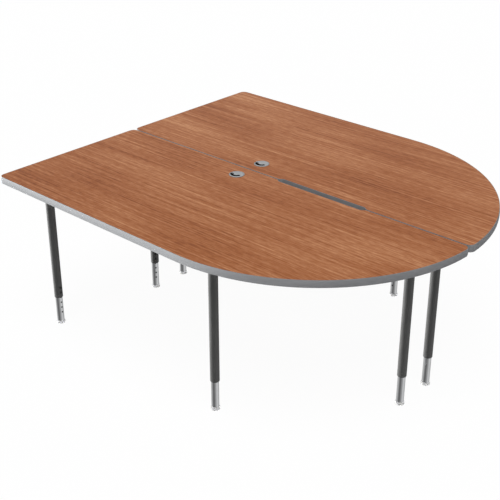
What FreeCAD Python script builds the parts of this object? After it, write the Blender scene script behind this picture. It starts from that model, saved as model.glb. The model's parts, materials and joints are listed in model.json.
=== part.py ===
import FreeCAD, Part
import math
import os

# A D-shaped collaboration table: two mirror-image halves that stand side by side along a straight seam.
# Millimetres. X runs along the seam from the flat end to the round tip, Y across it, Z up from the floor.
# The origin is on the floor, under the middle of the top.

# The two tops
table_height = 736.6
half_length = 1828.8
half_width = 762.0
corner_radius = 25.4
core_thickness = 28.6
laminate_thickness = 0.8
backer_thickness = 0.8
seam_gap = 1.0

# Edge band: a crowned lip with a tongue that is pressed into a kerf round the core
band_rim = 1.6
band_crown = 1.6
crown_parts = 8
band_easing = 0.7
band_glue_line = 0.05
tongue_thickness = 2.0
tongue_depth = 9.5
kerf_side_clearance = 0.1
kerf_end_clearance = 0.5

# Cable slot: a shallow notch with sloping ends in the seam edge of each core
slot_centre_from_end = 1127.5
slot_length = 470.0
slot_ramp = 30.0
notch_depth = 12.7

# Grommets: a flanged liner in each half, with a cap that turns in it
grommet_from_end = 736.5
grommet_from_seam_edge = 75.8
liner_radius = 31.6
liner_wall = 1.2
liner_depth = 24.0
liner_hole_clearance = 0.15
flange_radius = 33.6
flange_height = 1.8
flange_easing = 0.9
ledge_width = 1.8
ledge_thickness = 1.6
cap_thickness = 2.0
cap_side_clearance = 0.3
cap_seat_clearance = 0.1
cap_easing = 0.5
cap_skirt_depth = 4.0
cap_skirt_wall = 1.2
cord_hole_radius = 6.4
cord_slot_width = 12.0
cord_path_radius = 21.0
cord_path_x = -3.1
cord_path_y = 2.6
cord_hole_angle = 203.6
cord_slot_end_angle = 337.9

# Legs: a steel sleeve on a screwed plate, and a lower tube that slides in it
corner_leg_from_end = 127.5
corner_leg_from_side = 153.0
seam_leg_from_end = 205.0
seam_leg_from_seam_edge = 88.9
curve_leg_past_straight = 46.0
curve_leg_from_side = 150.0
tip_leg_from_tip = 191.5
# Degrees from +X that each leg's row of holes faces in the back half. The front half mirrors it, except at
# the tip, where both legs face the same way
corner_facing = 0.0
seam_facing = 30.0
curve_facing = -90.0
tip_facing = 90.0
sleeve_radius = 19.05
sleeve_wall = 1.65
lower_leg_radius = 15.875
lower_leg_wall = 1.65
lower_leg_reveal = 120.65
lower_leg_easing = 1.2
first_hole_height = 44.45
hole_spacing = 25.4
hole_count = 9
hole_radius = 4.0
lower_leg_above_holes = 31.75
weld_leg = 4.0

# Bush that guides the lower tube in the sleeve's open end
bush_lip_thickness = 3.0
bush_lip_easing = 1.8
bush_seat_clearance = 0.05
bush_running_clearance = 0.1
bush_past_screws = 35.0

# Height screws, two to a leg, backed out until their tips just clear the lower tube
screws_per_leg = 2
height_screw_above_lip = 20.0
height_screw_radius = 3.6
height_screw_hole_clearance = 0.2
height_screw_tip_clearance = 0.4
height_head_radius = 6.0
height_head_height = 2.6
height_head_easing = 1.4
height_socket_flats = 4.0
height_socket_depth = 1.5

# Levelling glide: a nylon foot that swivels on a threaded steel stem
foot_height = 9.0
foot_radius = 19.05
foot_hub_radius = 12.5
foot_rim_height = 7.8
foot_base_easing = 1.2
foot_rim_easing = 1.2
foot_hub_easing = 2.0
stem_radius = 4.75
stem_running_clearance = 0.1
stem_head_radius = 6.5
stem_head_thickness = 2.4
stem_neck_radius = 4.0
stem_head_floor = 3.2
stem_swivel_clearance = 0.3
collar_height = 3.1
collar_flats = 15.0
collar_gap = 0.3
plug_length = 25.4
plug_seat_clearance = 0.05
stem_past_plug = 7.0

# Mounting plates and their wood screws
plate_side = 114.3
plate_thickness = 3.2
plate_corner_radius = 10.0
plate_hole_inset = 12.7
seam_plate_length = 152.4
seam_plate_width = 50.8
seam_plate_thickness = 3.2
seam_plate_corner_radius = 8.0
seam_plate_hole_inset = 12.7
seam_plate_from_slot = 50.0
wood_screw_radius = 2.4
wood_screw_length = 19.0
wood_screw_point = 4.0
wood_screw_hole_clearance = 0.1
wood_screw_pilot_past = 0.5
plate_hole_clearance = 0.4
wood_head_radius = 4.8
wood_head_height = 2.8
wood_head_easing = 2.2
recess_length = 4.0
recess_width = 1.1
recess_depth = 1.4

# Levels above the floor and places that follow from these sizes
laminate_bottom = table_height - laminate_thickness
core_bottom = laminate_bottom - core_thickness
underside = core_bottom - backer_thickness
top_thickness = table_height - underside
core_middle = core_bottom + core_thickness / 2
lip_thickness = band_rim + band_crown
seam_edge = seam_gap / 2 + lip_thickness
tip_corner_reach = math.sqrt((half_width - corner_radius) ** 2 - corner_radius ** 2)
straight_length = half_length - half_width
flat_end = -(straight_length + tip_corner_reach + corner_radius) / 2
straight_end = flat_end + straight_length
slot_start = flat_end + slot_centre_from_end - slot_length / 2
slot_end = slot_start + slot_length
grommet_x = flat_end + grommet_from_end
grommet_y = seam_edge + grommet_from_seam_edge
side_edge = seam_edge + half_width
tube_bottom = foot_height + collar_gap + collar_height + collar_gap
sleeve_bottom = tube_bottom + lower_leg_reveal
lower_leg_length = first_hole_height + (hole_count - 1) * hole_spacing + lower_leg_above_holes
sleeve_top = underside - plate_thickness
sleeve_bore = sleeve_radius - sleeve_wall

# Plan place of each leg of the back half, and the way its row of holes faces there and, before it is
# mirrored, in the front half
corner_leg_x = flat_end + corner_leg_from_end
corner_leg_y = side_edge - corner_leg_from_side
seam_leg_x = flat_end + seam_leg_from_end
seam_leg_y = seam_edge + seam_leg_from_seam_edge
curve_leg_x = straight_end + curve_leg_past_straight
curve_leg_y = side_edge - curve_leg_from_side
tip_leg_x = flat_end + half_length - tip_leg_from_tip
leg_places = {
    "corner": (corner_leg_x, corner_leg_y, corner_facing, corner_facing),
    "seam": (seam_leg_x, seam_leg_y, seam_facing, seam_facing),
    "curve": (curve_leg_x, curve_leg_y, curve_facing, curve_facing),
    "tip": (tip_leg_x, seam_leg_y, tip_facing, -tip_facing),
}

up = FreeCAD.Vector(0, 0, 1)


def at(x, y, z=0.0):
    return FreeCAD.Vector(x, y, z)


def polar(radius, degrees, z=0.0):
    angle = math.radians(degrees)
    return FreeCAD.Vector(radius * math.cos(angle), radius * math.sin(angle), z)


def cylinder(radius, low, high):
    return Part.makeCylinder(radius, high - low, at(0, 0, low))


def turned(corners):
    """A solid of revolution about Z, from the corners of its section in order.

    A corner is a radius and a height, with the radius of its rounding as a third number where it has one.
    """
    runs = []
    for number, corner in enumerate(corners):
        here = at(corner[0], 0, corner[1])
        if len(corner) == 2:
            runs.append((here, here, here))
            continue
        before = corners[number - 1]
        after = corners[(number + 1) % len(corners)]
        back = (at(before[0], 0, before[1]) - here).normalize()
        ahead = (at(after[0], 0, after[1]) - here).normalize()
        half_angle = back.getAngle(ahead) / 2
        inward = (back + ahead).normalize()
        reach = corner[2] / math.tan(half_angle)
        middle = here + inward * (corner[2] / math.sin(half_angle) - corner[2])
        runs.append((here + back * reach, middle, here + ahead * reach))
    edges = []
    for number, (start, middle, finish) in enumerate(runs):
        if start.distanceToPoint(finish) > 0:
            edges.append(Part.Arc(start, middle, finish).toShape())
        next_start = runs[(number + 1) % len(runs)][0]
        edges.append(Part.makeLine(finish, next_start))
    return Part.Face(Part.Wire(edges)).revolve(at(0, 0), up, 360)


def prism(corners, radius, low, high):
    """An upright regular prism with corners at the given radius."""
    ring = [polar(radius, 360 * step / corners, low) for step in range(corners)]
    face = Part.Face(Part.makePolygon(ring + ring[:1]))
    return face.extrude(at(0, 0, high - low))


def rounded_plate(size_x, size_y, corner, low, high):
    plate = Part.makeBox(size_x, size_y, high - low, at(-size_x / 2, -size_y / 2, low))
    upright = [edge for edge in plate.Edges if abs(edge.tangentAt(edge.FirstParameter).z) > 0.5]
    return plate.makeFillet(corner, upright)


def placed(shape, x, y):
    return shape.translated(at(x, y))


def mirrored(shape):
    """The same piece on the front half."""
    return shape.mirror(at(0, 0), at(0, 1))


# Outline of one half


def outline_arcs():
    """Every rounded stretch of the back half's outline, anticlockwise from above.

    Each is centre x, centre y, radius, bulge, first angle and last angle. Bulge is 1 where the core is
    convex and -1 where it is hollow. Straight runs join each arc to the next.
    """
    ramp_angle = 2 * math.degrees(math.atan(notch_depth / slot_ramp))
    ramp_radius = slot_ramp / (2 * math.sin(math.radians(ramp_angle)))
    lip_y = seam_edge + ramp_radius
    floor_y = seam_edge + notch_depth - ramp_radius
    near_end = slot_start + slot_ramp
    far_end = slot_end - slot_ramp
    tip_x = straight_end + tip_corner_reach
    tip_angle = math.degrees(math.atan2(corner_radius, tip_corner_reach))
    return [
        (slot_start, lip_y, ramp_radius, 1, -90, ramp_angle - 90),
        (near_end, floor_y, ramp_radius, -1, 90 + ramp_angle, 90),
        (far_end, floor_y, ramp_radius, -1, 90, 90 - ramp_angle),
        (slot_end, lip_y, ramp_radius, 1, -90 - ramp_angle, -90),
        (tip_x, seam_edge + corner_radius, corner_radius, 1, -90, tip_angle),
        (straight_end, seam_edge, half_width, 1, tip_angle, 90),
        (flat_end + corner_radius, side_edge - corner_radius, corner_radius, 1, 90, 180),
        (flat_end + corner_radius, seam_edge + corner_radius, corner_radius, 1, 180, 270),
    ]


def slab(grow, low, high):
    """The half's outline moved outwards by grow, as a plate between two heights."""
    edges = []
    ends = []
    for x, y, radius, bulge, first, last in outline_arcs():
        size = radius + bulge * grow
        points = [at(x, y, low) + polar(size, angle) for angle in (first, (first + last) / 2, last)]
        edges.append(Part.Arc(*points).toShape())
        ends.append((points[0], points[2]))
    for number, (start, finish) in enumerate(ends):
        next_start = ends[(number + 1) % len(ends)][0]
        if finish.distanceToPoint(next_start) > 1e-6:
            edges.append(Part.makeLine(finish, next_start))
    face = Part.Face(Part.Wire(Part.__sortEdges__(edges)))
    return face.extrude(at(0, 0, high - low))


# Pieces of one top, made for the back half


def screw_points():
    """Plan place of every wood screw in the back half: the leg plates' and then the seam plates'."""
    leg_reach = plate_side / 2 - plate_hole_inset
    leg_points = []
    for x, y, *_ in leg_places.values():
        for side_x in (-leg_reach, leg_reach):
            for side_y in (-leg_reach, leg_reach):
                leg_points.append((x + side_x, y + side_y))
    seam_reach_x = seam_plate_width / 2 - seam_plate_hole_inset
    seam_reach_y = seam_plate_length / 2 - seam_plate_hole_inset
    seam_points = []
    for x in seam_plate_places():
        for side_x in (-seam_reach_x, seam_reach_x):
            seam_points.append((x + side_x, seam_reach_y))
    return leg_points, seam_points


def seam_plate_places():
    """Along the seam: between the seam legs and the grommets, and beyond each end of the cable slot."""
    between = (seam_leg_x + grommet_x) / 2
    return [between, slot_start - seam_plate_from_slot, slot_end + seam_plate_from_slot]


def screw_holes(shape, thickness, low):
    """Cut the wood screws' pilot holes in a sheet that is this thick and starts at this height."""
    leg_points, seam_points = screw_points()
    tools = []
    for points, plate in ((leg_points, plate_thickness), (seam_points, seam_plate_thickness)):
        high = underside - plate + wood_screw_length + wood_screw_pilot_past
        reach = min(high, low + thickness)
        for x, y in points:
            hole = cylinder(wood_screw_radius + wood_screw_hole_clearance, low, reach)
            tools.append(placed(hole, x, y))
    return shape.cut(tools)


def grommet_hole(low, high):
    return placed(cylinder(liner_radius + liner_hole_clearance, low, high), grommet_x, grommet_y)


def top_core():
    core = slab(0, core_bottom, laminate_bottom)
    kerf_low = core_middle - tongue_thickness / 2 - kerf_side_clearance
    kerf_high = core_middle + tongue_thickness / 2 + kerf_side_clearance
    outside = slab(lip_thickness, kerf_low, kerf_high)
    inside = slab(-tongue_depth - kerf_end_clearance, kerf_low, kerf_high)
    core = core.cut([outside.cut(inside), grommet_hole(core_bottom, laminate_bottom)])
    return screw_holes(core, core_thickness, core_bottom)


def top_laminate():
    return slab(0, laminate_bottom, table_height).cut(grommet_hole(laminate_bottom, table_height))


def backer_sheet():
    sheet = slab(0, underside, core_bottom).cut(grommet_hole(underside, core_bottom))
    return screw_holes(sheet, backer_thickness, underside)


def band_section(foot, outward):
    """The band's T-shaped section, standing at a point of the core's edge and facing outwards.

    The crown is cut into several short arcs, so that its thin bulge is meshed closely.
    """

    def spot(out, height):
        return foot + outward * out + at(0, 0, height)

    corner = band_easing * (1 - math.sqrt(0.5))
    tongue_low = core_middle - tongue_thickness / 2
    tongue_high = core_middle + tongue_thickness / 2
    easing_in = band_rim - band_easing
    low_round = Part.Arc(
        spot(easing_in, underside),
        spot(band_rim - corner, underside + corner),
        spot(band_rim, underside + band_easing),
    )
    crown_half = top_thickness / 2 - band_easing
    crown_radius = (crown_half**2 + band_crown**2) / (2 * band_crown)
    crown_step = math.asin(crown_half / crown_radius) / crown_parts

    def crown_spot(step):
        angle = step * crown_step
        out = lip_thickness - crown_radius * (1 - math.cos(angle))
        return spot(out, underside + top_thickness / 2 + crown_radius * math.sin(angle))

    crown = [
        Part.Arc(crown_spot(step - 1), crown_spot(step), crown_spot(step + 1)).toShape()
        for step in range(1 - crown_parts, crown_parts, 2)
    ]
    high_round = Part.Arc(
        spot(band_rim, table_height - band_easing),
        spot(band_rim - corner, table_height - corner),
        spot(easing_in, table_height),
    )
    inner = [
        spot(easing_in, table_height),
        spot(band_glue_line, table_height),
        spot(band_glue_line, tongue_high),
        spot(-tongue_depth, tongue_high),
        spot(-tongue_depth, tongue_low),
        spot(band_glue_line, tongue_low),
        spot(band_glue_line, underside),
        spot(easing_in, underside),
    ]
    edges = [low_round.toShape()] + crown + [high_round.toShape()]
    edges += Part.makePolygon(inner).Edges
    return Part.Face(Part.Wire(edges))


def edge_band():
    """The band runs right round the half: a turned piece at each arc and a straight one between them."""
    arcs = outline_arcs()
    pieces = []
    for number, (x, y, radius, bulge, first, last) in enumerate(arcs):
        centre = at(x, y)
        section = band_section(centre + polar(radius, first), polar(bulge, first))
        pieces.append(section.revolve(centre, up, last - first))
        next_x, next_y, next_radius, _, next_first, _ = arcs[(number + 1) % len(arcs)]
        finish = centre + polar(radius, last)
        run = at(next_x, next_y) + polar(next_radius, next_first) - finish
        if run.Length > 1e-6:
            pieces.append(band_section(finish, polar(bulge, last)).extrude(run))
    return pieces[0].fuse(pieces[1:])


# Grommet


def grommet_liner():
    bore = liner_radius - liner_wall
    flange_top = table_height + flange_height
    ledge_top = flange_top - cap_thickness - cap_seat_clearance
    ledge_bottom = ledge_top - ledge_thickness
    bottom = table_height - liner_depth
    section = [
        (bore, bottom),
        (liner_radius, bottom),
        (liner_radius, table_height),
        (flange_radius, table_height),
        (flange_radius, flange_top, flange_easing),
        (bore, flange_top),
        (bore, ledge_top),
        (bore - ledge_width, ledge_top),
        (bore - ledge_width, ledge_bottom),
        (bore, ledge_bottom),
    ]
    return placed(turned(section), grommet_x, grommet_y)


def cord_opening(low, high):
    """A round hole that runs on into a curved slot, as a J, round a centre beside the cap's own."""
    half = cord_slot_width / 2
    middle = (cord_hole_angle + cord_slot_end_angle) / 2
    outer = cord_path_radius + half
    inner = cord_path_radius - half
    start = cord_hole_angle
    finish = cord_slot_end_angle
    cap_turn = math.degrees(half / cord_path_radius)
    arcs = [
        (polar(outer, start, low), polar(outer, middle, low), polar(outer, finish, low)),
        (
            polar(outer, finish, low),
            polar(cord_path_radius, finish + cap_turn, low),
            polar(inner, finish, low),
        ),
        (polar(inner, finish, low), polar(inner, middle, low), polar(inner, start, low)),
    ]
    edges = [Part.Arc(*points).toShape() for points in arcs]
    edges.append(Part.makeLine(polar(inner, start, low), polar(outer, start, low)))
    slot = Part.Face(Part.Wire(edges)).extrude(at(0, 0, high - low))
    hole = cylinder(cord_hole_radius, low, high).translated(polar(cord_path_radius, start))
    return slot.fuse(hole).translated(at(cord_path_x, cord_path_y))


def grommet_cap():
    """Both caps are turned the same way, so this one isn't mirrored."""
    bore = liner_radius - liner_wall
    top = table_height + flange_height
    bottom = top - cap_thickness
    skirt = bore - ledge_width - cap_side_clearance
    section = [
        (0, bottom),
        (skirt - cap_skirt_wall, bottom),
        (skirt - cap_skirt_wall, bottom - cap_skirt_depth),
        (skirt, bottom - cap_skirt_depth),
        (skirt, bottom),
        (bore - cap_side_clearance, bottom),
        (bore - cap_side_clearance, top, cap_easing),
        (0, top),
    ]
    return turned(section).cut(cord_opening(bottom - cap_skirt_depth, top))


# Pieces of one leg, made about the leg's own axis


def height_screw_levels():
    """The holes of the lower tube that the height screws face, counted up from the sleeve's lip."""
    lowest = sleeve_bottom + bush_lip_thickness + height_screw_above_lip
    first_hole = tube_bottom + first_hole_height
    skipped = math.ceil((lowest - first_hole) / hole_spacing)
    return [first_hole + (skipped + number) * hole_spacing for number in range(screws_per_leg)]


def radial_holes(radius, reach, facing, levels):
    return [Part.makeCylinder(radius, reach, at(0, 0, level), polar(1, facing)) for level in levels]


def upper_leg(facing):
    """The sleeve, with the fillet of weld that holds it to its plate."""
    low = sleeve_bottom + bush_lip_thickness
    tube = cylinder(sleeve_radius, low, sleeve_top)
    weld = turned(
        [
            (sleeve_radius - sleeve_wall, sleeve_top - weld_leg),
            (sleeve_radius, sleeve_top - weld_leg),
            (sleeve_radius + weld_leg, sleeve_top),
            (sleeve_radius - sleeve_wall, sleeve_top),
        ]
    )
    screw_hole = height_screw_radius + height_screw_hole_clearance
    holes = radial_holes(screw_hole, 2 * sleeve_radius, facing, height_screw_levels())
    return tube.fuse(weld).removeSplitter().cut([cylinder(sleeve_bore, low, sleeve_top)] + holes)


def leg_bush(facing):
    lip_top = sleeve_bottom + bush_lip_thickness
    top = height_screw_levels()[-1] + bush_past_screws
    inside = lower_leg_radius + bush_running_clearance
    outside = sleeve_bore - bush_seat_clearance
    section = [
        (inside, sleeve_bottom),
        (sleeve_radius, sleeve_bottom, bush_lip_easing),
        (sleeve_radius, lip_top),
        (outside, lip_top),
        (outside, top),
        (inside, top),
    ]
    screw_hole = height_screw_radius + height_screw_hole_clearance
    holes = radial_holes(screw_hole, 2 * sleeve_radius, facing, height_screw_levels())
    return turned(section).cut(holes)


def height_screws(facing):
    """Button-head screws, built along Z from the leg's axis and then laid over to face outwards."""
    tip = lower_leg_radius + height_screw_tip_clearance
    head_top = sleeve_radius + height_head_height
    section = [
        (0, tip),
        (height_screw_radius, tip),
        (height_screw_radius, sleeve_radius),
        (height_head_radius, sleeve_radius),
        (height_head_radius, head_top, height_head_easing),
        (0, head_top),
    ]
    socket_radius = height_socket_flats / math.sqrt(3)
    socket = prism(6, socket_radius, head_top - height_socket_depth, head_top)
    screw = turned(section).cut(socket)
    screw.rotate(at(0, 0), at(0, 1), 90)
    screw.rotate(at(0, 0), up, facing)
    return [screw.translated(at(0, 0, level)) for level in height_screw_levels()]


def lower_leg(facing):
    top = tube_bottom + lower_leg_length
    section = [
        (lower_leg_radius - lower_leg_wall, tube_bottom),
        (lower_leg_radius, tube_bottom, lower_leg_easing),
        (lower_leg_radius, top, lower_leg_easing),
        (lower_leg_radius - lower_leg_wall, top),
    ]
    first_hole = tube_bottom + first_hole_height
    levels = [first_hole + number * hole_spacing for number in range(hole_count)]
    return turned(section).cut(radial_holes(hole_radius, 2 * lower_leg_radius, facing, levels))


def leg_plug():
    """A plug in the lower tube's end, bored for the stem."""
    radius = lower_leg_radius - lower_leg_wall - plug_seat_clearance
    plug = cylinder(radius, tube_bottom, tube_bottom + plug_length)
    return plug.cut(cylinder(stem_radius + stem_running_clearance, tube_bottom, tube_bottom + plug_length))


def glide_stem():
    collar_low = foot_height + collar_gap
    collar_high = collar_low + collar_height
    head_top = stem_head_floor + stem_swivel_clearance + stem_head_thickness
    head_low = stem_head_floor + stem_swivel_clearance
    top = tube_bottom + plug_length + stem_past_plug
    shank = turned(
        [
            (0, head_low),
            (stem_head_radius, head_low),
            (stem_head_radius, head_top),
            (stem_neck_radius, head_top),
            (stem_neck_radius, collar_low),
            (stem_radius, collar_low),
            (stem_radius, top),
            (0, top),
        ]
    )
    return shank.fuse(prism(6, collar_flats / math.sqrt(3), collar_low, collar_high)).removeSplitter()


def glide_foot():
    """A low dome with a flat base, moulded round the stem's head so that it can swivel."""
    pocket = stem_head_radius + stem_swivel_clearance
    pocket_top = stem_head_floor + stem_head_thickness + 2 * stem_swivel_clearance
    neck = stem_neck_radius + stem_swivel_clearance
    section = [
        (0, 0),
        (foot_radius, 0, foot_base_easing),
        (foot_radius, foot_rim_height, foot_rim_easing),
        (foot_hub_radius, foot_height, foot_hub_easing),
        (neck, foot_height),
        (neck, pocket_top),
        (pocket, pocket_top),
        (pocket, stem_head_floor),
        (0, stem_head_floor),
    ]
    return turned(section)


# Plates and wood screws


def leg_plate():
    plate = rounded_plate(plate_side, plate_side, plate_corner_radius, sleeve_top, underside)
    reach = plate_side / 2 - plate_hole_inset
    hole = cylinder(wood_screw_radius + plate_hole_clearance, sleeve_top, underside)
    corners = [(x, y) for x in (-reach, reach) for y in (-reach, reach)]
    return plate.cut([placed(hole, x, y) for x, y in corners])


def seam_plate():
    """A flat plate across the seam that ties the two halves together."""
    low = underside - seam_plate_thickness
    plate = rounded_plate(seam_plate_width, seam_plate_length, seam_plate_corner_radius, low, underside)
    reach_x = seam_plate_width / 2 - seam_plate_hole_inset
    reach_y = seam_plate_length / 2 - seam_plate_hole_inset
    hole = cylinder(wood_screw_radius + plate_hole_clearance, low, underside)
    corners = [(x, y) for x in (-reach_x, reach_x) for y in (-reach_y, reach_y)]
    return plate.cut([placed(hole, x, y) for x, y in corners])


def wood_screw(seat):
    """A pan-head screw driven upwards, with its head under a plate at the given height."""
    tip = seat + wood_screw_length
    head_low = seat - wood_head_height
    section = [
        (0, head_low),
        (wood_head_radius, head_low, wood_head_easing),
        (wood_head_radius, seat),
        (wood_screw_radius, seat),
        (wood_screw_radius, tip - wood_screw_point),
        (0, tip),
    ]
    slots = []
    for size_x, size_y in ((recess_length, recess_width), (recess_width, recess_length)):
        slots.append(Part.makeBox(size_x, size_y, recess_depth, at(-size_x / 2, -size_y / 2, head_low)))
    return turned(section).cut(slots)


def kept(shape):
    """A piece of the back half, which is modelled in its own place."""
    return shape


def both_halves(shapes):
    return Part.makeCompound(shapes + [mirrored(shape) for shape in shapes])


def build():
    """Every node of the table, by name."""
    nodes = {}
    pieces = {
        "top_core": top_core(),
        "top_laminate": top_laminate(),
        "backer_sheet": backer_sheet(),
        "edge_band": edge_band(),
        "grommet_liner": grommet_liner(),
    }
    for name, shape in pieces.items():
        nodes["back_" + name] = shape
        nodes["front_" + name] = mirrored(shape)
    bushes = []
    screws = []
    plates = []
    for place, (x, y, back_facing, front_facing) in leg_places.items():
        for half, facing, set_in_half in (("back_", back_facing, kept), ("front_", front_facing, mirrored)):
            leg = {
                "_upper_leg": upper_leg(facing),
                "_lower_leg": lower_leg(facing),
                "_leg_plug": leg_plug(),
                "_glide_stem": glide_stem(),
                "_glide_foot": glide_foot(),
            }
            for name, shape in leg.items():
                nodes[half + place + name] = set_in_half(placed(shape, x, y))
            bushes.append(set_in_half(placed(leg_bush(facing), x, y)))
            screws += [set_in_half(placed(screw, x, y)) for screw in height_screws(facing)]
            plates.append(set_in_half(placed(leg_plate(), x, y)))
    nodes["back_grommet_cap"] = placed(grommet_cap(), grommet_x, grommet_y)
    nodes["front_grommet_cap"] = placed(grommet_cap(), grommet_x, -grommet_y)
    nodes["leg_bushes"] = Part.makeCompound(bushes)
    nodes["height_screws"] = Part.makeCompound(screws)
    nodes["leg_plates"] = Part.makeCompound(plates)
    leg_points, seam_points = screw_points()
    leg_screw = wood_screw(underside - plate_thickness)
    seam_screw = wood_screw(underside - seam_plate_thickness)
    nodes["leg_plate_screws"] = both_halves([placed(leg_screw, x, y) for x, y in leg_points])
    nodes["seam_plate_screws"] = both_halves([placed(seam_screw, x, y) for x, y in seam_points])
    nodes["seam_plates"] = Part.makeCompound([placed(seam_plate(), x, 0) for x in seam_plate_places()])
    return nodes


os.makedirs("parts", exist_ok=True)
for node, solid in build().items():
    solid.exportStep("parts/" + node + ".step")
    print(node, len(solid.Solids), solid.isValid(), round(solid.Volume))
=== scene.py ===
# %% [markdown]
# This lesson dresses a collaboration table: two D-shaped tops that stand side by side along a straight seam.
# Its solids come from a CAD model, which is loaded first and then never moved, so every measure is a real one.
# What is left for Blender is what the eye looks for: the finishes, the light, and small shapes such as threads.

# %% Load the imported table
import json
import math

import bmesh
import bpy
from mathutils import Matrix, Vector


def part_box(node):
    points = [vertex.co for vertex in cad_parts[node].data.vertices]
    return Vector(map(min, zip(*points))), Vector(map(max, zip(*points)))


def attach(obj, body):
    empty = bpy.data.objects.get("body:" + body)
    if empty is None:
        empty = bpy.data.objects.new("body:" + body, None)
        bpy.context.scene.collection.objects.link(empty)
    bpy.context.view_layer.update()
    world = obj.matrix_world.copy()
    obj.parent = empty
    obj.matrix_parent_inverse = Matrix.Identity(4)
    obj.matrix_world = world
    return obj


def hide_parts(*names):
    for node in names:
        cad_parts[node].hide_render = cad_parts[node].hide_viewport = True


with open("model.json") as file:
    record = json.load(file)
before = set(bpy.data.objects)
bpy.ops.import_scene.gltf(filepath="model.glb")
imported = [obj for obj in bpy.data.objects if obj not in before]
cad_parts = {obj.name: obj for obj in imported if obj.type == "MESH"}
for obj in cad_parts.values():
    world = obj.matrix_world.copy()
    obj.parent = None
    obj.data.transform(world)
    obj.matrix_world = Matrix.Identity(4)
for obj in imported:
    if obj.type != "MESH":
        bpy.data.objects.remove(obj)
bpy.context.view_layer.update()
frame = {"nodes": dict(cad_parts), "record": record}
mm = 0.001
up = Vector((0.0, 0.0, 1.0))
white = (1.0, 1.0, 1.0, 1.0)


def add_object(name, data):
    """A new object in the scene's collection."""
    made = bpy.data.objects.new(name, data)
    bpy.context.scene.collection.objects.link(made)
    return made


# %% [markdown]
# The photograph looks down on the table from beyond its round end, over the front half.
# A long lens keeps the far edge nearly as large as the near one. The angles and the distance were solved from
# the outline, the seam and the feet. The slight downward shift only sets the frame, as a view camera does.

# %% Camera
camera_place = (2.5035, -2.9506, 2.3965)
camera_azimuth = math.radians(42.22)
camera_elevation = math.radians(26.31)
camera_data = bpy.data.cameras.new("photo_camera")
camera_data.sensor_width = 36.0
camera_data.lens = 72.13
camera_data.shift_y = -0.032
camera = add_object("photo_camera", camera_data)
camera.location = camera_place
camera.rotation_euler = (math.pi / 2 - camera_elevation, 0.0, camera_azimuth)
bpy.context.scene.camera = camera
bpy.context.scene.view_settings.view_transform = "Standard"
print("camera", camera_place, "lens", camera_data.lens)

# %% [markdown]
# A pale studio can be a painted room, but a few wide lamps and an even sky do the same with less to manage.
# A long strip stands on the floor, far off on the left and lower than the tops. It grazes the band and passes under
# the tops, so the legs have a bright strip on that side along their whole length and are dark towards the lens, while
# the tops, the seam and the slot get nothing from it. A weaker strip nearer the camera softens where its light ends.
# The tops are lit by a large soft sun high on the camera's side, whose light is the same everywhere on the floor.
# For every lamp, azimuth 0 is the front of the table and 90 its round end.

# %% Lamps
strip_distance = 24.0
strip_low, strip_high = 0.05, 0.65


def low_strip(name, azimuth, strength, width):
    """A far upright strip of light; its strength is what reaches the table, in the same measure as a sun's."""
    data = bpy.data.lights.new(name, "AREA")
    data.shape = "RECTANGLE"
    data.size = width
    data.size_y = strip_high - strip_low
    data.energy = strength * math.pi * strip_distance**2
    lamp = add_object(name, data)
    turn = math.radians(azimuth)
    middle = (strip_low + strip_high) / 2
    lamp.location = (strip_distance * math.sin(turn), -strip_distance * math.cos(turn), middle)
    lamp.rotation_euler = (math.pi / 2, 0.0, turn)
    lamp.visible_camera = False
    return lamp


def soft_sun(name, azimuth, elevation, strength, disc):
    """A sun whose disc is this many degrees wide."""
    data = bpy.data.lights.new(name, "SUN")
    data.energy = strength
    data.angle = math.radians(disc)
    lamp = add_object(name, data)
    lamp.rotation_euler = (math.pi / 2 - math.radians(elevation), 0.0, math.radians(azimuth))
    return lamp


lamps = [
    low_strip("left_strip", azimuth=-67, strength=7.6, width=6.0),
    low_strip("front_strip", azimuth=-38, strength=1.4, width=10.0),
    soft_sun("overhead_lamp", azimuth=35, elevation=67, strength=2.6, disc=40),
]
print("lamps", [lamp.name for lamp in lamps])

# %% [markdown]
# Sky, floor and finishes are all made of shader nodes. A few helpers do the wiring, so that the cells after this one
# read like recipes.

# %% Helpers for shader nodes


def add_node(tree, kind, **settings):
    """A new shader node of this kind, with these fields set."""
    node = tree.nodes.new("ShaderNode" + kind)
    for field, value in settings.items():
        setattr(node, field, value)
    return node


def combine(tree, operation, first, second):
    """One value from two, either of which may be a plain number."""
    node = add_node(tree, "Math", operation=operation)
    for socket, value in zip(node.inputs, (first, second)):
        if isinstance(value, (int, float)):
            socket.default_value = value
        else:
            tree.links.new(value, socket)
    return node.outputs[0]


def weighted_sum(tree, *layers):
    """Add up layers, each given with its weight."""
    total = None
    for layer, weight in layers:
        part = combine(tree, "MULTIPLY", layer, weight)
        total = part if total is None else combine(tree, "ADD", total, part)
    return total


def spread(tree, value, low, high, to_low=0.0, to_high=1.0):
    """Stretch the part of a value from low to high over a new range, and hold it there."""
    node = add_node(tree, "MapRange", clamp=True)
    node.inputs["From Min"].default_value = low
    node.inputs["From Max"].default_value = high
    node.inputs["To Min"].default_value = to_low
    node.inputs["To Max"].default_value = to_high
    tree.links.new(value, node.inputs["Value"])
    return node.outputs["Result"]


def shades(tree, value, stops):
    """Colours along a value: each stop is a place from 0 to 1 and a linear colour."""
    node = add_node(tree, "ValToRGB")
    ramp = node.color_ramp
    while len(ramp.elements) < len(stops):
        ramp.elements.new(1.0)
    for element, (place, colour) in zip(ramp.elements, stops):
        element.position = place
        element.color = (*colour, 1.0)
    tree.links.new(value, node.inputs["Fac"])
    return node.outputs["Color"]


def seen_directly(tree):
    """1 for a ray from the camera, a mirror or a clear piece, and 0 for a ray that only carries light."""
    path = add_node(tree, "LightPath")
    first = combine(tree, "MAXIMUM", path.outputs["Is Camera Ray"], path.outputs["Is Glossy Ray"])
    return combine(tree, "MAXIMUM", first, path.outputs["Is Transmission Ray"])


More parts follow.
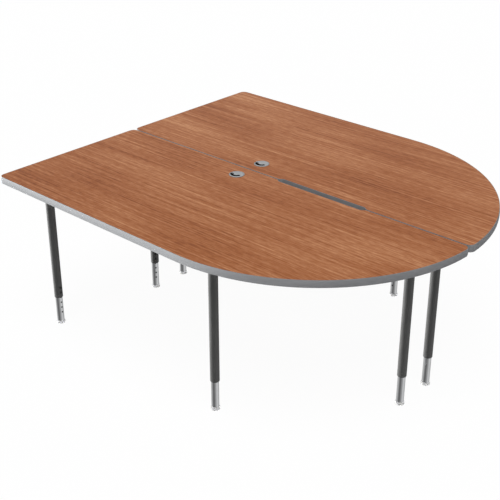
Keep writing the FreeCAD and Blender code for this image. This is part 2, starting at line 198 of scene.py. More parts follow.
def finish_tree(tree, amount, first, second, output):
    """Mix two shaders by an amount, and end the tree with an output of this kind."""
    mix = add_node(tree, "MixShader")
    for socket, value in zip(mix.inputs, (amount, first.outputs[0], second.outputs[0])):
        tree.links.new(value, socket)
    tree.links.new(mix.outputs[0], add_node(tree, output).inputs["Surface"])


print("node helpers ready")

# %% [markdown]
# The sky has two jobs that need two levels. As light it is dim and even. As a background it is white.
# Light Path tells the two apart: rays from the camera, mirrors and clear plastic see white, and the rest see the
# dim level, so a white picture costs no extra light on the table.
# Chrome in an all-white room looks like grey paint. Photographers stand grey cards round the set, out of the
# picture, so that bright tube has something darker to mirror. Here the cards are upright bands in the lower half of
# the sky, which only mirrors see. Each stop of the ramp is a compass place and a shade.

# %% Sky
sky_light = 0.25
card_shades = [
    (0.00, 0.62), (0.08, 0.62), (0.12, 0.46), (0.18, 0.28), (0.24, 0.16), (0.31, 0.16), (0.35, 0.30), (0.44, 0.42),
    (0.50, 0.72), (0.66, 0.68), (0.71, 0.42), (0.92, 0.42), (0.95, 0.62), (1.00, 0.62),
]
sky = bpy.data.worlds.new("white_studio")
bpy.context.scene.world = sky
sky.use_nodes = True
sky_tree = sky.node_tree
sky_tree.nodes.clear()
dim_sky = add_node(sky_tree, "Background")
dim_sky.inputs["Strength"].default_value = sky_light
dim_sky.inputs["Color"].default_value = white
white_sky = add_node(sky_tree, "Background")

towards = add_node(sky_tree, "SeparateXYZ")
sky_tree.links.new(add_node(sky_tree, "TexCoord").outputs["Generated"], towards.inputs[0])
compass = combine(sky_tree, "ARCTAN2", towards.outputs["Y"], towards.outputs["X"])
compass_place = spread(sky_tree, compass, -math.pi, math.pi)
cards = shades(sky_tree, compass_place, [(place, (shade, shade, shade)) for place, shade in card_shades])
below = combine(sky_tree, "LESS_THAN", towards.outputs["Z"], 0.0)
mirrored = combine(sky_tree, "MULTIPLY", below, add_node(sky_tree, "LightPath").outputs["Is Glossy Ray"])
room = add_node(sky_tree, "Mix", data_type="RGBA")
sky_tree.links.new(mirrored, room.inputs["Factor"])
room.inputs["A"].default_value = white
sky_tree.links.new(cards, room.inputs["B"])
sky_tree.links.new(room.outputs["Result"], white_sky.inputs["Color"])
finish_tree(sky_tree, seen_directly(sky_tree), dim_sky, white_sky, "OutputWorld")
print("sky light", sky_light, "cards", len(card_shades))

# %% [markdown]
# The floor in the photograph is white paper, with only a breath of shadow round the feet.
# A plain white plane would show every shadow at full depth. Here most of what the camera sees is an even white glow,
# and the rest is true diffuse paper, so the shadow stays but is faint. Mirrors look through the floor to the cards.

# %% Floor
floor_reach = 60.0
paper_glow = 0.96
paper_colour = (0.85, 0.85, 0.86, 1.0)
bm = bmesh.new()
bmesh.ops.create_grid(bm, x_segments=2, y_segments=2, size=floor_reach)
floor_mesh = bpy.data.meshes.new("floor")
bm.to_mesh(floor_mesh)
bm.free()
floor = add_object("floor", floor_mesh)
floor.visible_glossy = False

paper = bpy.data.materials.new("white_paper")
paper.use_nodes = True
paper_tree = paper.node_tree
paper_tree.nodes.clear()
paper_body = add_node(paper_tree, "BsdfDiffuse")
paper_body.inputs["Color"].default_value = paper_colour
paper_light = add_node(paper_tree, "Emission")
paper_light.inputs["Color"].default_value = white
paper_share = combine(paper_tree, "MULTIPLY", seen_directly(paper_tree), paper_glow)
finish_tree(paper_tree, paper_share, paper_body, paper_light, "OutputMaterial")
floor_mesh.materials.append(paper)
print("floor", floor.name, "half width", floor_reach)

# %% [markdown]
# Every finish below is made the same way: noise is read through object coordinates, stretched to the size and run
# of the real texture, and then drives colour, roughness and a little relief.
# Object coordinates are in metres here, so a stretch of 100 is a pattern about one centimetre across.

# %% Helpers for finishes


def start_finish(name, roughness, metallic=0.0, specular=0.5):
    """A new material, its node tree and its shader, with the values that are the same all over."""
    finish = bpy.data.materials.new(name)
    finish.use_nodes = True
    shader = finish.node_tree.nodes["Principled BSDF"]
    shader.inputs["Roughness"].default_value = roughness
    shader.inputs["Metallic"].default_value = metallic
    shader.inputs["Specular IOR Level"].default_value = specular
    return finish, finish.node_tree, shader


def object_space(tree, stretch, shift=(0.0, 0.0, 0.0)):
    """Object coordinates, stretched and then moved; a plain number stretches all three alike."""
    if isinstance(stretch, float):
        stretch = (stretch, stretch, stretch)
    mapping = add_node(tree, "Mapping")
    mapping.inputs["Location"].default_value = shift
    mapping.inputs["Scale"].default_value = stretch
    tree.links.new(add_node(tree, "TexCoord").outputs["Object"], mapping.inputs["Vector"])
    return mapping.outputs["Vector"]


def noise_in(tree, space, detail, roughness):
    """Soft noise about one unit across in the given space."""
    node = add_node(tree, "TexNoise")
    node.inputs["Scale"].default_value = 1.0
    node.inputs["Detail"].default_value = detail
    node.inputs["Roughness"].default_value = roughness
    tree.links.new(space, node.inputs["Vector"])
    return node.outputs["Fac"]


def noise(tree, stretch, detail=2.0, roughness=0.5, shift=(0.0, 0.0, 0.0)):
    """Soft noise in object coordinates with this stretch."""
    return noise_in(tree, object_space(tree, stretch, shift), detail, roughness)


def cells(tree, stretch):
    """Voronoi cells: the distance from each cell's middle, and one random shade for each cell."""
    node = add_node(tree, "TexVoronoi")
    node.inputs["Scale"].default_value = 1.0
    tree.links.new(object_space(tree, stretch), node.inputs["Vector"])
    parts = add_node(tree, "SeparateColor")
    tree.links.new(node.outputs["Color"], parts.inputs["Color"])
    return node.outputs["Distance"], parts.outputs[0]


def lay_stain_or_shade(tree, colour, amount, tint):
    """Lay a tint over a colour by the given amount: a real stain, or painted shade."""
    node = add_node(tree, "Mix", data_type="RGBA")
    tree.links.new(amount, node.inputs["Factor"])
    tree.links.new(colour, node.inputs["A"])
    node.inputs["B"].default_value = (*tint, 1.0)
    return node.outputs["Result"]


def mottle(tree, shader, tone, reach, colours, roughness, rough_tone=None, stain_or_shade=None):
    """Two colours and two roughnesses at the ends of a tone's reach.

    The roughness may follow another tone, and a stain or painted shade, given as an amount and a tint, may lie over the
    colour.
    """
    colour = shades(tree, tone, list(zip(reach, colours)))
    if stain_or_shade is not None:
        colour = lay_stain_or_shade(tree, colour, *stain_or_shade)
    tree.links.new(colour, shader.inputs["Base Color"])
    rough_tone = tone if rough_tone is None else rough_tone
    tree.links.new(spread(tree, rough_tone, *reach, *roughness), shader.inputs["Roughness"])


def relief(tree, shader, height, depth, strength):
    """Let a height, in parts of the given depth in metres, tilt the surface."""
    node = add_node(tree, "Bump")
    node.inputs["Strength"].default_value = strength
    node.inputs["Distance"].default_value = depth
    tree.links.new(height, node.inputs["Height"])
    tree.links.new(node.outputs["Normal"], shader.inputs["Normal"])


print("finish helpers ready")

# %% [markdown]
# The tops are faced with a cherry wood-grain laminate: printed paper under a clear matt resin.
# Its figure has six sizes. Broad soft patches lie along the board, long straight streaks and thin streaks run through
# them, fine lines and short dashes lie in the streaks, and dark pores finish it. One noise can't hold all six, so each
# has its own, stretched along X. All six sway together a little, as grain does.
# The two halves are cut from different places of the sheet, so each has its own shift.

# %% Cherry laminate
sway_reach = 0.008
cherry_shades = [
    (0.18, (0.172, 0.042, 0.008)),
    (0.42, (0.298, 0.095, 0.028)),
    (0.58, (0.374, 0.143, 0.056)),
    (0.82, (0.530, 0.252, 0.120)),
]
cherry_roughness = (0.50, 0.42)
pore_brown = (0.165, 0.048, 0.020)
pore_darkness = 0.5
pore_fading = 0.2


def cherry_laminate(name, shift):
    """Wood-grain laminate cut from the sheet at this shift."""
    finish, tree, shader = start_finish(name, roughness=0.45, specular=0.1)
    sway = spread(tree, noise(tree, (1.1, 2.2, 0.0), shift=shift), 0.0, 1.0, -sway_reach, sway_reach)
    push = add_node(tree, "CombineXYZ")
    tree.links.new(sway, push.inputs["Y"])
    swayed = add_node(tree, "VectorMath", operation="ADD")
    tree.links.new(object_space(tree, (1.0, 1.0, 0.0), shift), swayed.inputs[0])
    tree.links.new(push.outputs[0], swayed.inputs[1])

    def layer(along, across, low, high, detail=2.0, roughness=0.6):
        """One size of the figure: swayed noise with this stretch along and across, spread from low to high."""
        scaled = add_node(tree, "VectorMath", operation="MULTIPLY")
        tree.links.new(swayed.outputs[0], scaled.inputs[0])
        scaled.inputs[1].default_value = (along, across, 0.0)
        return spread(tree, noise_in(tree, scaled.outputs[0], detail, roughness), low, high)

    patches = layer(1.4, 4.0, 0.25, 0.75, detail=1.0, roughness=0.5)
    streaks = layer(1.0, 76.0, 0.33, 0.67, detail=3.0)
    thin_streaks = layer(1.6, 105.0, 0.33, 0.67)
    dashes = layer(24.0, 105.0, 0.35, 0.65)
    lines = layer(8.0, 300.0, 0.3, 0.7, detail=3.0)
    pores = layer(48.0, 1250.0, 0.56, 0.7, detail=1.0, roughness=0.5)
    figure = weighted_sum(
        tree, (patches, 0.23), (streaks, 0.21), (thin_streaks, 0.26), (dashes, 0.18), (lines, 0.12),
    )
    fading = combine(tree, "MULTIPLY", patches, pore_fading)
    pore_share = combine(tree, "MULTIPLY", pores, combine(tree, "SUBTRACT", pore_darkness, fading))
    colour = lay_stain_or_shade(tree, shades(tree, figure, cherry_shades), pore_share, pore_brown)
    tree.links.new(colour, shader.inputs["Base Color"])
    tree.links.new(spread(tree, lines, 0.0, 1.0, *cherry_roughness), shader.inputs["Roughness"])
    relief(tree, shader, weighted_sum(tree, (lines, 0.4), (pores, -1.0)), 0.03 * mm, 0.2)
    return finish


cherry = {
    "front": cherry_laminate("cherry_laminate_front", (0.37, 0.21, 0.0)),
    "back": cherry_laminate("cherry_laminate_back", (7.41, 1.17, 0.0)),
}
print("cherry", [finish.name for finish in cherry.values()])

# %% [markdown]
# Under the laminate is particleboard: chips of several sizes pressed in glue. Only a drilled hole would show it.
# Voronoi cells stretched along the board look like chips, because each cell takes one colour.
# The sheet below it only balances the board, so it is plain brown paper in resin with a faint sanded run.

# %% Particleboard and backer
chip_shades = [(0.0, (0.33, 0.22, 0.12)), (0.5, (0.52, 0.38, 0.23)), (1.0, (0.66, 0.52, 0.35))]
fleck_brown = (0.14, 0.09, 0.06)


def particleboard():
    """Pressed chips, each with its own shade."""
    finish, tree, shader = start_finish("particleboard", roughness=0.85, specular=0.25)
    distance, tone = cells(tree, (160.0, 320.0, 420.0))
    tree.links.new(shades(tree, tone, chip_shades), shader.inputs["Base Color"])
    relief(tree, shader, distance, 0.4 * mm, 0.6)
    return finish


def brown_backer():
    """Brown paper in resin, with clouds, sanding and dark flecks."""
    finish, tree, shader = start_finish("brown_backer", roughness=0.6, specular=0.3)
    clouds = noise(tree, (9.0, 14.0, 9.0), detail=4.0, roughness=0.6)
    sanding = noise(tree, (22.0, 900.0, 22.0))
    fleck = spread(tree, noise(tree, 420.0), 0.6, 0.75)
    mottle(
        tree, shader, weighted_sum(tree, (clouds, 0.7), (sanding, 0.3)), reach=(0.3, 0.7),
        colours=((0.235, 0.165, 0.115), (0.335, 0.245, 0.175)), roughness=(0.66, 0.52),
        stain_or_shade=(combine(tree, "MULTIPLY", fleck, 0.35), fleck_brown),
    )
    relief(tree, shader, sanding, 0.04 * mm, 0.5)
    return finish


board_finishes = [particleboard(), brown_backer()]
print("board", [finish.name for finish in board_finishes])

# %% [markdown]
# The edge band is extruded vinyl, and the grommets are moulded plastic, both grey.
# Extruded vinyl has long faint draw lines and a skin like fine leather. A mould gives an even, finer sand texture.
# The skin is a few hundredths of a millimetre deep, so bump is enough for it.
# The liner is grey on its flange. Below the flange its colour is painted nearly black, as painted shade for its well,
# where little light comes back.

# %% Grey plastics
flange_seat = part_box("front_top_laminate")[1].z
# Painted shade in the liner's well: the height over which it fades in below the flange, and its nearly black colour.
well_shade_fade = 0.4 * mm
well_painted_shade = (0.006, 0.006, 0.007)


def grey_band():
    """Extruded vinyl with draw lines and scuffs."""
    finish, tree, shader = start_finish("grey_edge_band", roughness=0.56, specular=0.1)
    skin = noise(tree, 700.0, detail=3.0, roughness=0.6)
    draw = noise(tree, (3.0, 3.0, 620.0))
    scuff = noise(tree, (6.0, 6.0, 40.0), detail=5.0, roughness=0.65)
    mottle(
        tree, shader, weighted_sum(tree, (scuff, 0.6), (draw, 0.4)), reach=(0.3, 0.7),
        colours=((0.182, 0.186, 0.192), (0.216, 0.219, 0.224)), roughness=(0.5, 0.62), rough_tone=scuff,
    )
    relief(tree, shader, weighted_sum(tree, (skin, 1.0), (draw, 0.5)), 0.05 * mm, 0.5)
    return finish


def moulded_grey(name, base_roughness, colours, roughness, has_shaded_well=False):
    """Moulded plastic with a sand texture, with painted shade, nearly black, below the flange if it has a well."""
    finish, tree, shader = start_finish(name, roughness=base_roughness, specular=0.3)
    sand = noise(tree, 1600.0, roughness=0.6)
    wear = noise(tree, 70.0, detail=4.0, roughness=0.6)
    stain_or_shade = None
    if has_shaded_well:
        # Painted shade: below the flange the colour turns nearly black, standing in for the shade down the well.
        height = add_node(tree, "SeparateXYZ")
        tree.links.new(object_space(tree, 1.0), height.inputs[0])
        depth = spread(tree, height.outputs["Z"], flange_seat + well_shade_fade, flange_seat)
        stain_or_shade = (depth, well_painted_shade)
    mottle(tree, shader, wear, (0.3, 0.7), colours, roughness, stain_or_shade=stain_or_shade)
    relief(tree, shader, sand, 0.03 * mm, 0.5)
    return finish


grey_plastics = [
    grey_band(),
    moulded_grey("grey_grommet", 0.4, ((0.270, 0.276, 0.284), (0.325, 0.330, 0.337)), (0.34, 0.46)),
    # The liner's finish has painted shade, nearly black, down its well.
    moulded_grey("grey_liner_painted_shade", 0.5, ((0.215, 0.221, 0.228), (0.260, 0.265, 0.271)), (0.42, 0.55), has_shaded_well=True),
]
print("grey plastics", [finish.name for finish in grey_plastics])

# %% [markdown]
# The sleeves and plates are powder coated black. Powder melts into a skin with a slight orange peel and a soft shine.
# Two noises make it: one about three millimetres across for the peel, and a finer one for the grain of the powder.
# A little dust greys it unevenly, as it does on any black leg.

# %% Black coatings


def black_powder_coat():
    """Orange peel, powder grain and dust."""
    finish, tree, shader = start_finish("black_powder_coat", roughness=0.52, specular=0.7)
    peel = noise(tree, 340.0)
    grit = noise(tree, 1500.0, detail=1.0)
    dust = noise(tree, (14.0, 14.0, 5.0), detail=5.0, roughness=0.65)
    mottle(
        tree, shader, dust, reach=(0.35, 0.75), colours=((0.034, 0.035, 0.034), (0.048, 0.048, 0.047)),
        roughness=(0.46, 0.58),
    )
    relief(tree, shader, weighted_sum(tree, (peel, 1.0), (grit, 0.35)), 0.06 * mm, 0.6)
    return finish


def black_bush():
    """Moulded nylon, rubbed along the leg."""
    finish, tree, shader = start_finish("black_bush", roughness=0.5, specular=0.4)
    sand = noise(tree, 1400.0)
    rub = noise(tree, (220.0, 220.0, 18.0), detail=4.0, roughness=0.6)
    mottle(
        tree, shader, rub, reach=(0.3, 0.75), colours=((0.017, 0.017, 0.018), (0.040, 0.040, 0.042)),
        roughness=(0.55, 0.4),
    )
    relief(tree, shader, sand, 0.04 * mm, 0.5)
    return finish


def black_oxide():
    """Blackened steel with an uneven film of oil."""
    finish, tree, shader = start_finish("black_oxide", roughness=0.34, metallic=0.7)
    oil = noise(tree, 480.0, detail=4.0, roughness=0.6)
    mottle(
        tree, shader, oil, reach=(0.3, 0.75), colours=((0.016, 0.016, 0.017), (0.050, 0.049, 0.048)),
        roughness=(0.28, 0.44),
    )
    relief(tree, shader, oil, 0.02 * mm, 0.4)
    return finish


black_coatings = [black_powder_coat(), black_bush(), black_oxide()]
print("black coatings", [finish.name for finish in black_coatings])

# %% [markdown]
# The lower legs are bright chrome over drawn tube, and the screws and stems are zinc plated.
# Chrome has hardly a colour of its own: fine draw lines along the tube and patches of handling change its roughness.
# Zinc is greyer, with soft crystals that a Voronoi pattern gives.

# %% Bright metals


def bright_chrome():
    """Draw lines along the tube under patches of handling."""
    finish, tree, shader = start_finish("bright_chrome", roughness=0.16, metallic=1.0)
    draw = noise(tree, (900.0, 900.0, 9.0))
    touch = noise(tree, (60.0, 60.0, 26.0), detail=5.0, roughness=0.65)
    mottle(
        tree, shader, touch, reach=(0.3, 0.7), colours=((0.640, 0.648, 0.660), (0.740, 0.746, 0.756)),
        roughness=(0.05, 0.13), rough_tone=weighted_sum(tree, (touch, 0.6), (draw, 0.4)),
    )
    relief(tree, shader, draw, 0.01 * mm, 0.4)
    return finish


def zinc_plate():
    """Soft crystals under a thin film."""
    finish, tree, shader = start_finish("zinc_plate", roughness=0.36, metallic=1.0)
    crystals = cells(tree, 260.0)[1]
    film = noise(tree, 45.0, detail=4.0, roughness=0.6)
    mottle(
        tree, shader, weighted_sum(tree, (crystals, 0.35), (film, 0.65)), reach=(0.25, 0.75),
        colours=((0.430, 0.440, 0.455), (0.600, 0.608, 0.615)), roughness=(0.44, 0.28),
    )
    relief(tree, shader, film, 0.03 * mm, 0.4)
    return finish


bright_metals = [bright_chrome(), zinc_plate()]
print("bright metals", [finish.name for finish in bright_metals])

# %% [markdown]
# The feet are pale nylon, cloudy like ice. Light enters it and comes back out, so its shade is soft and its edge glows.
# Part of the light goes straight through, so white paper shows as a pale gleam in the rim, and subsurface scattering
# softens the rest. A faint cloud and a skin of mould grain keep it from looking flat.

# %% Pale nylon


def pale_nylon():
    """Cloudy plastic that lets light through."""
    finish, tree, shader = start_finish("pale_nylon", roughness=0.3)
    shader.inputs["Transmission Weight"].default_value = 0.75
    shader.inputs["IOR"].default_value = 1.3
    shader.inputs["Subsurface Weight"].default_value = 0.35
    shader.inputs["Subsurface Radius"].default_value = (1.0, 1.0, 1.15)
    shader.inputs["Subsurface Scale"].default_value = 3.0 * mm
    cloud = noise(tree, 110.0, detail=4.0, roughness=0.6)
    skin = noise(tree, 1300.0)
    mottle(
        tree, shader, cloud, reach=(0.3, 0.7), colours=((0.910, 0.920, 0.935), (0.960, 0.965, 0.970)),
        roughness=(0.24, 0.38),
    )
    relief(tree, shader, skin, 0.02 * mm, 0.4)
    return finish


nylon = pale_nylon()
print("nylon", nylon.name)

# %% [markdown]
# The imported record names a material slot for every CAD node, so the finishes can be given out by slot.
# Doing it by slot, not node by node, means that no screw or plate is forgotten.
# Only the two laminates and the two liners then get a finish of their own.

# %% Give the finishes to the CAD nodes
finishes = {
    "wood_laminate": "cherry_laminate_front",
    "particleboard": "particleboard",
    "backer": "brown_backer",
    "edge_band": "grey_edge_band",
    "grommet": "grey_grommet",
    "black_paint": "black_powder_coat",
    "chrome": "bright_chrome",
    "black_plastic": "black_bush",
    "zinc_steel": "zinc_plate",
    "nylon": "pale_nylon",
    "black_steel": "black_oxide",
}


def finish_for(slot):
    """The finish of a material slot."""
    return bpy.data.materials[finishes[slot]]


for subpart in frame["record"]["subparts"]:
    node = frame["nodes"][subpart["node"]]
    for slot in node.material_slots:
        slot.material = finish_for(subpart["material_slot"])
for half, finish in cherry.items():
    frame["nodes"][half + "_top_laminate"].material_slots[0].material = finish
    frame["nodes"][half + "_grommet_liner"].material_slots[0].material = bpy.data.materials["grey_liner_painted_shade"]

# %% [markdown]
# New pieces end the same way: the mesh gets clean outward normals, smooth shading with sharp corners kept, a finish,
# a body to ride on, and its material slot. One helper does all of that, so that no piece misses a step.
# Most of them start the same way too, as a section that is spun round an upright axis, like work on a lathe.

# %% Helpers for new pieces
corner_angle = math.radians(32)
same_point = 0.002 * mm
same_level = 0.01 * mm


def finish_piece(bm, name, slot, body, replaced=()):
    """Turn a bmesh into a piece at the origin that rides on a body and stands for CAD nodes."""
    bmesh.ops.remove_doubles(bm, verts=bm.verts, dist=same_point)
    bmesh.ops.recalc_face_normals(bm, faces=bm.faces)
    for face in bm.faces:
        face.smooth = True
    mesh = bpy.data.meshes.new(name)
    bm.to_mesh(mesh)
    bm.free()
    mesh.set_sharp_from_angle(angle=corner_angle)
    mesh.materials.append(finish_for(slot))
    piece = add_object(name, mesh)
    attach(piece, body)
    if replaced:
        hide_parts(*replaced)
    return piece


def polar(radius, angle, height=0.0):
    """The point at this radius and angle round the upright axis."""
    return Vector((radius * math.cos(angle), radius * math.sin(angle), height))


def section_line(bm, corners, closed=False):
    """The corners of a section, each a radius and a height in metres, as a run of edges that is ready to spin."""
    verts = [bm.verts.new((radius, 0.0, height)) for radius, height in corners]
    ends = verts[1:] + verts[:1] if closed else verts[1:]
    return verts + [bm.edges.new(pair) for pair in zip(verts, ends)]


def spun_profile(bm, corners, segments, closed=False):
    """A turned shell from the corners of its section."""
    bmesh.ops.spin(
        bm, geom=section_line(bm, corners, closed), cent=Vector(), axis=up, angle=2 * math.pi, steps=segments,
        use_merge=True,
    )


def in_metres(corners):
    """The corners of a section that is written in millimetres."""
    return [(radius * mm, height * mm) for radius, height in corners]


print("piece helpers ready")

# %% [markdown]
# Each grommet cap is a thin disc with a J-shaped opening: a round hole for a plug lead that runs on into a curved slot.
# The CAD cap is solid and sharp. A moulded one has a raised rim that catches the light, a thin web, and rounded edges,
# which decide how dark and wide the opening looks from a low angle.
# The rim is turned as on a lathe. The opening is drawn by spinning single points round their centres, the web is
# filled between the two, and the opening's wall is bridged and bevelled.
# The opening's outline is four arcs: along the slot's outer edge, round its end, back along its inner edge, and round
# the hole. The places where the slot's edges meet the hole follow from the law of cosines.

# %% Cord opening
cord_centre = Vector((-3.1, 2.6, 0.0)) * mm
cord_path = 20.2 * mm
slot_half = 6.9 * mm
hole_radius = 6.95 * mm
hole_angle = math.radians(203.6)
slot_end_angle = math.radians(337.9)
outer_steps, end_steps, inner_steps, hole_steps = 36, 18, 26, 32


def arc_from(bm, vert, centre, angle, steps):
    """Draw an arc by spinning one point, and return its last point."""
    result = bmesh.ops.spin(bm, geom=[vert], cent=centre, axis=up, angle=angle, steps=steps)
    return [item for item in result["geom_last"] if isinstance(item, bmesh.types.BMVert)][0]


def meeting_angle(edge_radius):
    """How far past the hole's own angle its rim crosses one edge of the slot."""
    square = edge_radius**2 + cord_path**2 - hole_radius**2
    return math.acos(square / (2 * edge_radius * cord_path))


def draw_cord_opening(bm, height):
    """The J as one closed line of edges at this height."""
    centre = cord_centre + up * height
    outer, inner = cord_path + slot_half, cord_path - slot_half
    outer_start = hole_angle + meeting_angle(outer)
    inner_end = hole_angle + meeting_angle(inner)
    hole = centre + polar(cord_path, hole_angle)
    before = set(bm.edges)
    vert = bm.verts.new(centre + polar(outer, outer_start))
    vert = arc_from(bm, vert, centre, slot_end_angle - outer_start, outer_steps)
    vert = arc_from(bm, vert, centre + polar(cord_path, slot_end_angle), math.pi, end_steps)
    vert = arc_from(bm, vert, centre, inner_end - slot_end_angle, inner_steps)
    first = centre + polar(inner, inner_end) - hole
    last = centre + polar(outer, outer_start) - hole
    sweep = (math.atan2(last.y, last.x) - math.atan2(first.y, first.x)) % (2 * math.pi)
    arc_from(bm, vert, hole, sweep, hole_steps)
    drawn = [edge for edge in bm.edges if edge not in before]
    bmesh.ops.remove_doubles(bm, verts=list({vert for edge in drawn for vert in edge.verts}), dist=same_level)
    return [edge for edge in bm.edges if edge not in before]


meetings = [math.degrees(meeting_angle(cord_path + side * slot_half)) for side in (1, -1)]
print("the slot's edges meet the hole at", [round(angle, 1) for angle in meetings])

# %% [markdown]
# A skirt under the web centres the cap in its liner, so that it turns without rattling. It is open where the round
# hole passes, as a mould would leave it.

# %% Grommet caps
rim_inner, rim_outer = 29.5, 30.1
web_low, web_high = 0.7, 1.7
rim_crown = [(rim_outer, 1.5), (30.03, 1.8), (29.9, 1.96), (29.75, 2.0), (29.6, 1.9)]
rim_section = [(rim_inner, web_low), (rim_inner, 0.0), (rim_outer, 0.0), *rim_crown, (rim_inner, web_high)]
rim_segments = 112
cord_edge_round = 0.18 * mm
skirt_inner, skirt_outer = 27.1, 28.3
skirt_low, skirt_high = -4.0, 1.0
skirt_section = [
    (skirt_inner, skirt_high), (skirt_outer, skirt_high), (skirt_outer, skirt_low), (skirt_inner, skirt_low),
]
skirt_gap_middle = math.radians(204)
skirt_gap = math.radians(26)
skirt_steps = 72


def add_skirt(bm):
    """A ring under the web, from one side of its gap round to the other."""
    start = skirt_gap_middle + skirt_gap
    face = bm.faces.new([bm.verts.new(polar(radius, start, height)) for radius, height in in_metres(skirt_section)])
    bmesh.ops.spin(
        bm, geom=[face], cent=Vector(), axis=up, angle=2 * math.pi - 2 * skirt_gap, steps=skirt_steps,
    )


def grommet_cap(half):
    """The cap of one half, in the place of its CAD node."""
    bm = bmesh.new()
    spun_profile(bm, in_metres(rim_section), rim_segments)
    bmesh.ops.remove_doubles(bm, verts=bm.verts, dist=same_point)
    openings = []
    for height in (web_low * mm, web_high * mm):
        rim = [
            edge for edge in bm.edges
            if edge.is_boundary and all(abs(vert.co.z - height) < same_level for vert in edge.verts)
        ]
        opening = draw_cord_opening(bm, height)
        bmesh.ops.triangle_fill(bm, edges=rim + opening, use_beauty=True, normal=up)
        openings += opening
    bmesh.ops.bridge_loops(bm, edges=openings)
    bmesh.ops.recalc_face_normals(bm, faces=bm.faces)
    rounded = [
        edge for edge in openings
        if edge.is_valid and min(vert.co.z for vert in edge.verts) > web_high * mm - same_level
    ]
    bmesh.ops.bevel(
        bm, geom=rounded, offset=cord_edge_round, offset_type="OFFSET", segments=3, profile=0.5,
        affect="EDGES", material=-1,
    )
    add_skirt(bm)
    low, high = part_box(half + "_grommet_cap")
    middle = (low + high) / 2
    rim_top = max(vert.co.z for vert in bm.verts)
    bmesh.ops.translate(bm, verts=bm.verts, vec=Vector((middle.x, middle.y, high.z - rim_top)))
    piece = finish_piece(bm, half + "_cord_cap", "grommet", half + "_cap", [half + "_grommet_cap"])
    weighted = piece.modifiers.new("even_shading", "WEIGHTED_NORMAL")
    weighted.keep_sharp = True
    return piece


caps = [grommet_cap(half) for half in ("front", "back")]
print("caps", [(cap.name, len(cap.data.polygons)) for cap in caps])

# %% [markdown]
# Every glide has a threaded stem, sixteen turns to the inch, with a six-sided collar that a spanner fits.
# CAD keeps the stem a plain rod, because its coupling is what matters there. The eye expects a thread as soon as a
# glide is wound out, so here one tooth is spun up the rod as a helix, its two ends are cut off flat, and the teeth at
# the top are tapered down to the root, so that the stem starts easily.
# Under the collar a neck and a head hold the foot.

# %% Threaded stems
thread_pitch = 25.4 / 16 * mm
thread_crest = 4.75 * mm
thread_root = 3.85 * mm
thread_low, thread_high = 12.3 * mm, 45.1 * mm
thread_taper = 0.8
tooth_section = [
    (thread_root, 0.0), (thread_root, 0.12), (thread_crest, 0.5), (thread_crest, 0.62), (thread_root, 1.0),
]
steps_a_turn = 28
cut_slack = 1e-7
collar_low, collar_high = 9.3 * mm, 12.4 * mm
collar_across_flats = 15.0 * mm
collar_round = 0.35 * mm
head_radius, neck_radius = 6.5, 4.0
head_low, head_high, neck_high = 3.5, 5.9, 9.6
stem_section = [
    (0.0, head_low), (head_radius, head_low), (head_radius, head_high), (neck_radius, head_high),
    (neck_radius, neck_high), (0.0, neck_high),
]
stem_segments = 40


def add_thread(bm):
    """A helix of teeth, cut flat at both ends and tapered at the top."""
    turns = math.ceil((thread_high - thread_low) / thread_pitch) + 2
    start = thread_low - thread_pitch
    tooth = [(radius, start + share * thread_pitch) for radius, share in tooth_section]
    bmesh.ops.spin(
        bm, geom=section_line(bm, tooth), cent=Vector(), axis=up, dvec=up * (thread_pitch / steps_a_turn),
        angle=2 * math.pi * turns, steps=turns * steps_a_turn,
    )
    bmesh.ops.remove_doubles(bm, verts=bm.verts, dist=same_point)
    for height, normal in ((thread_low, -up), (thread_high, up)):
        everything = bm.verts[:] + bm.edges[:] + bm.faces[:]
        bmesh.ops.bisect_plane(
            bm, geom=everything, dist=cut_slack, plane_co=up * height, plane_no=normal, clear_outer=True,
        )
    bmesh.ops.holes_fill(bm, edges=[edge for edge in bm.edges if edge.is_boundary], sides=0)
    for vert in bm.verts:
        reach = Vector((vert.co.x, vert.co.y)).length
        most = thread_root + thread_taper * (thread_high - vert.co.z)
        if reach > most:
            vert.co.x *= most / reach
            vert.co.y *= most / reach


def add_collar(bm):
    """A six-sided collar with rounded edges."""
    depth = collar_high - collar_low
    corner_radius = collar_across_flats / math.sqrt(3)
    made = bmesh.ops.create_cone(
        bm, cap_ends=True, segments=6, radius1=corner_radius, radius2=corner_radius, depth=depth,
        matrix=Matrix.Translation(up * (collar_low + depth / 2)),
    )
    edges = {edge for vert in made["verts"] for edge in vert.link_edges}
    bmesh.ops.bevel(
        bm, geom=list(edges), offset=collar_round, offset_type="OFFSET", segments=3, profile=0.5,
        affect="EDGES", material=-1,
    )


def threaded_stem(leg):
    """The stem of one leg, in the place of its CAD node."""
    low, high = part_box(leg + "_glide_stem")
    bm = bmesh.new()
    add_thread(bm)
    add_collar(bm)
    spun_profile(bm, in_metres(stem_section), stem_segments)
    centre = (low + high) / 2
    bmesh.ops.translate(bm, verts=bm.verts, vec=Vector((centre.x, centre.y, 0.0)))
    return finish_piece(bm, leg + "_threaded_stem", "zinc_steel", leg + "_stem", [leg + "_glide_stem"])


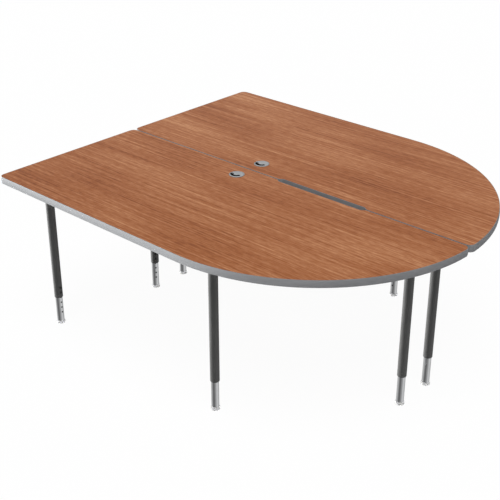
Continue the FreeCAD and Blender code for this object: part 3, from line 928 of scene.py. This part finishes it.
legs = [half + "_" + place for half in ("front", "back") for place in ("corner", "seam", "curve", "tip")]
stems = [threaded_stem(leg) for leg in legs]
print("stems", len(stems), "faces each", len(stems[0].data.polygons))

# %% [markdown]
# Each sleeve is welded to its plate. The CAD solid has a plain cone there, but a hand-laid bead is a row of ripples,
# one for each pause of the torch, and the paint rounds them over.
# A quarter-round section is spun about the leg, and then each point is pushed out or in along the run.
# Two slow waves make the bead wander. They start at a place that depends on the leg, so no two beads are alike.

# %% Weld beads
sleeve_radius = 19.05 * mm
bead_size = 4.3 * mm
bead_rows = 7
bead_steps = 150
bead_ripples = 30
ripple_slant = 0.6
ripple_sharpness = 0.7
ripple_depth = 0.16
bead_fullness = 0.86
slow_wander, slow_waves, slow_start = 0.06, 3, 40
quick_wander, quick_waves, quick_start = 0.04, 7, 25
plate_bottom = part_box("leg_plates")[0].z
bead_angles = [math.pi / 2 * row / (bead_rows - 1) for row in range(bead_rows)]
bead_section = [
    (sleeve_radius + bead_size * math.sin(angle), -bead_size * math.cos(angle)) for angle in bead_angles
] + [(sleeve_radius, 0.0)]


def weld_bead(bm, x, y):
    """One rippled bead under the plate of the leg at this place."""
    before = set(bm.verts)
    spun_profile(bm, bead_section, bead_steps, closed=True)
    ring = [vert for vert in bm.verts if vert not in before]
    for vert in ring:
        angle = math.atan2(vert.co.y, vert.co.x)
        out = Vector((vert.co.x, vert.co.y)).length - sleeve_radius
        wave = math.sin(angle * bead_ripples / 2 + ripple_slant * out / bead_size)
        ripple = ripple_depth * abs(wave) ** ripple_sharpness
        slow = slow_wander * math.sin(slow_waves * angle + x * slow_start)
        quick = quick_wander * math.sin(quick_waves * angle + y * quick_start)
        share = bead_fullness + ripple + slow + quick
        vert.co = polar(sleeve_radius + out * share, angle, vert.co.z * share)
    bmesh.ops.translate(bm, verts=ring, vec=Vector((x, y, plate_bottom)))


bm = bmesh.new()
for leg in legs:
    low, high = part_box(leg + "_lower_leg")
    weld_bead(bm, (low.x + high.x) / 2, (low.y + high.y) / 2)
beads = finish_piece(bm, "leg_weld_beads", "black_paint", "table")
print("beads", len(beads.data.polygons), "faces")
